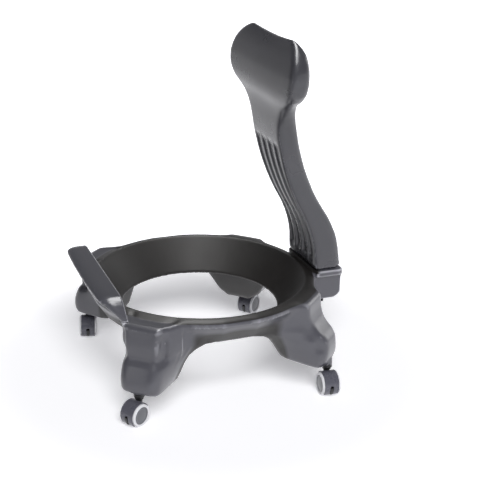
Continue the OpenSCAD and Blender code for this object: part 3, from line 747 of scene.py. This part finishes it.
@dataclass
class Casters:
    """Four casters at the feet."""

    stations: list[CasterStation] = field(default_factory=lambda: [
        CasterStation(Corner.FRONT_LEFT, LEG_X_MM, FRONT_LEG_Y_MM, -58.0),
        CasterStation(Corner.FRONT_RIGHT, -LEG_X_MM, FRONT_LEG_Y_MM, -16.0),
        CasterStation(Corner.REAR_LEFT, LEG_X_MM, REAR_LEG_Y_MM, -5.0),
        CasterStation(Corner.REAR_RIGHT, -LEG_X_MM, REAR_LEG_Y_MM, -50.0)])
    parts: CasterParts = field(default_factory=CasterParts)

    def place(self, model: bpy.types.Object, station: CasterStation, node: str, body: Body,
              slot: str) -> bpy.types.Object:
        """Copies a modelled piece to one corner.

        Args:
            model: The piece in the caster's own frame.
            station: The corner.
            node: The CAD node that the copy stands for, without the corner's name.
            body: The body that the copy rides on.
            slot: Not used.

        Returns:
            The placed copy.
        """
        corner = station.corner.value
        piece = model.copy()
        piece.data = model.data.copy()
        bpy.context.scene.collection.objects.link(piece)
        piece.data.transform(station.matrix())
        piece.name = f"{corner}_{node}_skin"
        piece.data.name = piece.name
        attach(piece, body.value if body is Body.BASE else f"{corner}_{body.value}")
        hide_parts(f"{corner}_{node}")
        return piece

    def build(self) -> list[bpy.types.Object]:
        """Makes all four casters.

        Returns:
            The pieces.
        """
        parts, black, zinc = self.parts, BLACK.build(), ZINC.build()
        models: list[tuple[bpy.types.Object, str, Body, str]] = []
        for side, mark, wheel in ((1, "a", Body.WHEEL_A), (-1, "b", Body.WHEEL_B)):
            tyre, hub = parts.tyre(side), parts.hub(side)
            dress(tyre, TREAD.build())
            dress(hub, CAP.build())
            models += [(tyre, f"tyre_{mark}", wheel, "tyre_grey"),
                       (hub, f"hub_{mark}", wheel, "hub_plastic")]
        stem, socket = parts.stem(), parts.socket()
        dress(stem, zinc)
        dress(socket, black)
        # One hood is drawn over its own solid and brought back to the swivel axis
        home = next(s for s in self.stations if s.corner is Corner.REAR_LEFT)
        hood = parts.hood_skinning.draw(f"{home.corner.value}_hood", "hood")
        hood.data.transform(home.matrix().inverted())
        dress(hood, NYLON.build())
        repaint(hood, black, parts.on_collar)
        models += [(stem, "stem", Body.FORK, "plain_steel"),
                   (socket, "socket", Body.BASE, "black_plastic"),
                   (hood, "hood", Body.FORK, "hood_plastic")]
        made: list[bpy.types.Object] = []
        for station in self.stations:
            for model, node, body, slot in models:
                made.append(self.place(model, station, node, body, slot))
            for node in ("axle", "grip_ring"):
                dress_node(f"{station.corner.value}_{node}", zinc)
            dress_node(f"{station.corner.value}_brake", black)
        for model, *_ in models:
            bpy.data.objects.remove(model)
        return made


# ---- studio ----------------------------------------------------------------------------------


@dataclass(frozen=True)
class SoftBox:
    """One soft box that draws highlights only; places and sizes are in metres."""

    name: str
    place: Point
    aim: Point
    width: float
    height: float
    watts: float

    def hang(self) -> None:
        """Adds the lamp to the scene."""
        data = bpy.data.lights.new(self.name, "AREA")
        data.shape, data.energy = "RECTANGLE", self.watts
        data.size, data.size_y = self.width, self.height
        obj = bpy.data.objects.new(self.name, data)
        bpy.context.scene.collection.objects.link(obj)
        obj.location = self.place
        way = Vector(self.aim) - Vector(self.place)
        obj.rotation_euler = way.to_track_quat("-Z", "Y").to_euler()
        obj.visible_diffuse = False


@dataclass
class Studio:
    """Pale floor, soft light and the camera at the photograph's angle.

    The camera looks from azimuth and elevation at the ring's centre, at a height of aim_z_mm, and
    is moved sideways and up by side_mm and up_mm. The floor's own light is floor_lift under the
    chair and rises to white over floor_fade_m; what gloss sees of it fades in over gloss_fade_m,
    and the room over room_fade, both from the front to the back. sky lists the room's brightness
    by the height of the line of sight, from the horizon to overhead.
    """

    azimuth: float = 71.8
    elevation: float = 21.4
    distance_mm: float = 2578.7
    focal_px: float = 1097.9
    centre_px: tuple[float, float] = (179.1, 243.0)
    side_mm: float = -48.0
    up_mm: float = 50.6
    aim_z_mm: float = 250.0
    frame_px: float = 500.0
    sensor_mm: float = 36.0
    floor_lift: float = 0.36
    floor_fade_m: tuple[float, float] = (0.45, 0.9)
    floor_gloss: float = 0.9
    gloss_fade_m: tuple[float, float] = (-0.9, -0.1)
    room_dim: float = 0.05
    room_fade: tuple[float, float] = (-0.7, 0.1)
    sky: tuple[tuple[float, float], ...] = ((0.0, 1.0), (0.10, 0.95), (0.24, 0.30), (0.45, 0.12),
                                            (1.0, 0.08))
    sun_strength: float = 2.7
    sun_width_deg: float = 35.0
    sun_way: Point = (-0.95, 0.2, -0.95)
    boxes: tuple[SoftBox, ...] = (
        SoftBox("top_strip", (-0.25, 0.1, 2.8), (0, 0, 0.2), 0.9, 3.0, 90),
        SoftBox("front_strip", (1.0, -2.6, 0.9), (0, 0, 0.45), 0.5, 1.8, 6),
        SoftBox("rear_strip", (-0.5, 2.6, 1.1), (0, 0, 0.45), 0.4, 1.8, 12),
    )

    def camera(self) -> None:
        """Sets up the camera, its lens and its shift."""
        a, e = math.radians(self.azimuth), math.radians(self.elevation)
        back = Vector((math.sin(a) * math.cos(e), -math.cos(a) * math.cos(e), math.sin(e)))
        right = Vector((math.cos(a), math.sin(a), 0))
        up = back.cross(right)
        data = bpy.data.cameras.new("camera")
        cam = bpy.data.objects.new("camera", data)
        bpy.context.scene.collection.objects.link(cam)
        cam.location = (right * self.side_mm + up * self.up_mm + back * self.distance_mm
                        + Vector((0, RING_Y_MM, self.aim_z_mm))) * MM
        cam.rotation_mode = "QUATERNION"
        cam.rotation_quaternion = Matrix((right, up, back)).transposed().to_quaternion()
        data.sensor_width = self.sensor_mm
        data.lens = self.focal_px / self.frame_px * self.sensor_mm
        data.shift_x = (self.frame_px / 2 - self.centre_px[0]) / self.frame_px
        data.shift_y = (self.centre_px[1] - self.frame_px / 2) / self.frame_px
        data.clip_start, data.clip_end = 0.05, 50
        bpy.context.scene.camera = cam

    def floor(self) -> None:
        """Lays the pale floor, which fades into the white background."""
        clear_selection()
        bpy.ops.mesh.primitive_plane_add(size=30)
        plane = settle(bpy.context.object, "floor")
        mat = bpy.data.materials.new("matt_studio_paper")
        mat.use_nodes = True
        tree = mat.node_tree
        tree.nodes.clear()
        path = add_node(tree, "ShaderNodeLightPath")
        paper = add_node(tree, "ShaderNodeBsdfDiffuse", {"Color": linear("#f4f4f6")})
        place = add_node(tree, "ShaderNodeTexCoord").outputs["Object"]
        away = add_node(tree, "ShaderNodeVectorMath", {"operation": "LENGTH"}, {0: place})
        rise = add_node(tree, "ShaderNodeMapRange",
                        {"From Min": self.floor_fade_m[0], "From Max": self.floor_fade_m[1],
                         "To Min": self.floor_lift, "To Max": 1.0,
                         "interpolation_type": "SMOOTHSTEP"},
                        {"Value": away.outputs["Value"]})
        direct = add_node(tree, "ShaderNodeMath", {"operation": "MULTIPLY"},
                          {0: path.outputs["Is Camera Ray"], 1: rise.outputs["Result"]})
        along = add_node(tree, "ShaderNodeSeparateXYZ", {}, {"Vector": place}).outputs["Y"]
        # The paper in front of the chair lies beyond the lamps' reach
        gloss = add_node(tree, "ShaderNodeMapRange",
                         {"From Min": self.gloss_fade_m[0], "From Max": self.gloss_fade_m[1],
                          "To Min": 0.0, "To Max": self.floor_gloss}, {"Value": along})
        amount = add_node(tree, "ShaderNodeMath", {"operation": "MULTIPLY_ADD"},
                          {0: path.outputs["Is Glossy Ray"], 1: gloss.outputs["Result"],
                           2: direct.outputs[0]})
        lift = add_node(tree, "ShaderNodeEmission", {"Color": linear("#fbfbff")},
                        {"Strength": amount.outputs[0]})
        both = add_node(tree, "ShaderNodeAddShader", {},
                        {0: paper.outputs[0], 1: lift.outputs[0]})
        add_node(tree, "ShaderNodeOutputMaterial", {}, {"Surface": both.outputs[0]})
        plane.data.materials.append(mat)

    def world(self) -> None:
        """Sets the room: bright near the horizon, dim overhead, white where the camera sees it."""
        world = bpy.data.worlds.new("pale_room")
        bpy.context.scene.world = world
        world.use_nodes = True
        tree = world.node_tree
        tree.nodes.clear()
        path = add_node(tree, "ShaderNodeLightPath")
        way = add_node(tree, "ShaderNodeTexCoord").outputs["Generated"]
        rise = add_node(tree, "ShaderNodeSeparateXYZ", {}, {"Vector": way}).outputs["Z"]
        level = add_node(tree, "ShaderNodeValToRGB", {}, {"Fac": rise})
        ramp = level.color_ramp
        for _ in self.sky[2:]:
            ramp.elements.new(0.5)
        for stop, (place, grey) in zip(ramp.elements, self.sky):
            stop.position, stop.color = place, (grey, grey, grey * 1.03, 1)
        ahead = add_node(tree, "ShaderNodeSeparateXYZ", {}, {"Vector": way}).outputs["Y"]
        # The room in front of the chair is dim, as a studio's open end is
        fade = add_node(tree, "ShaderNodeMapRange",
                        {"From Min": self.room_fade[0], "From Max": self.room_fade[1],
                         "To Min": self.room_dim, "To Max": 1.0}, {"Value": ahead})
        room = add_node(tree, "ShaderNodeBackground", {},
                        {"Color": level.outputs[0], "Strength": fade.outputs["Result"]})
        white = add_node(tree, "ShaderNodeBackground", {"Color": (1, 1, 1, 1), "Strength": 1.0})
        seen = add_node(tree, "ShaderNodeMixShader", {}, {"Fac": path.outputs["Is Camera Ray"]})
        tree.links.new(room.outputs[0], seen.inputs[1])
        tree.links.new(white.outputs[0], seen.inputs[2])
        add_node(tree, "ShaderNodeOutputWorld", {}, {"Surface": seen.outputs[0]})

    def light(self) -> None:
        """Hangs the broad key light, which draws no highlight, and the soft boxes."""
        data = bpy.data.lights.new("key_panel", "SUN")
        data.energy, data.angle = self.sun_strength, math.radians(self.sun_width_deg)
        key = bpy.data.objects.new("key_panel", data)
        bpy.context.scene.collection.objects.link(key)
        key.rotation_euler = Vector(self.sun_way).to_track_quat("-Z", "Y").to_euler()
        key.visible_glossy = False
        for box in self.boxes:
            box.hang()

    def build(self) -> None:
        """Sets the whole studio up."""
        self.camera()
        self.floor()
        self.world()
        self.light()
        bpy.context.scene.view_settings.view_transform = "Standard"


def main() -> None:
    """Builds the chair and its studio."""
    logging.basicConfig(level=logging.INFO, format="%(message)s")
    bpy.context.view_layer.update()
    Studio().build()
    shells: tuple[Shell, ...] = (
        Shell("base_frame", "seat_ring_skin", SHELL, "moulded_shell",
              Skinning(3.0, 3, leg_passes=26), socket_r_mm=14.0),
        Shell("front_bar", "front_bar_skin", BAR, "moulded_shell",
              Skinning(1.6, 4, calm_passes=30, crease_deg=45)),
        Shell("backrest", "backrest_skin", BACK, "moulded_back",
              Skinning(2.05, 2, calm_passes=30, crease_deg=42, near_mm=0.5, far_mm=6.0,
                       head_passes=40)),
    )
    for shell in shells:
        log.info("made %s", shell.build().name)
    for piece in Casters().build():
        log.info("made %s", piece.name)
    for node, finish in (("back_bolts", OXIDE), ("back_washers", OXIDE),
                         ("back_inserts", BRASS), ("bar_pegs", ZINC)):
        dress_node(node, finish.build())
        log.info("dressed %s", node)


if __name__ == "__main__":
    main()
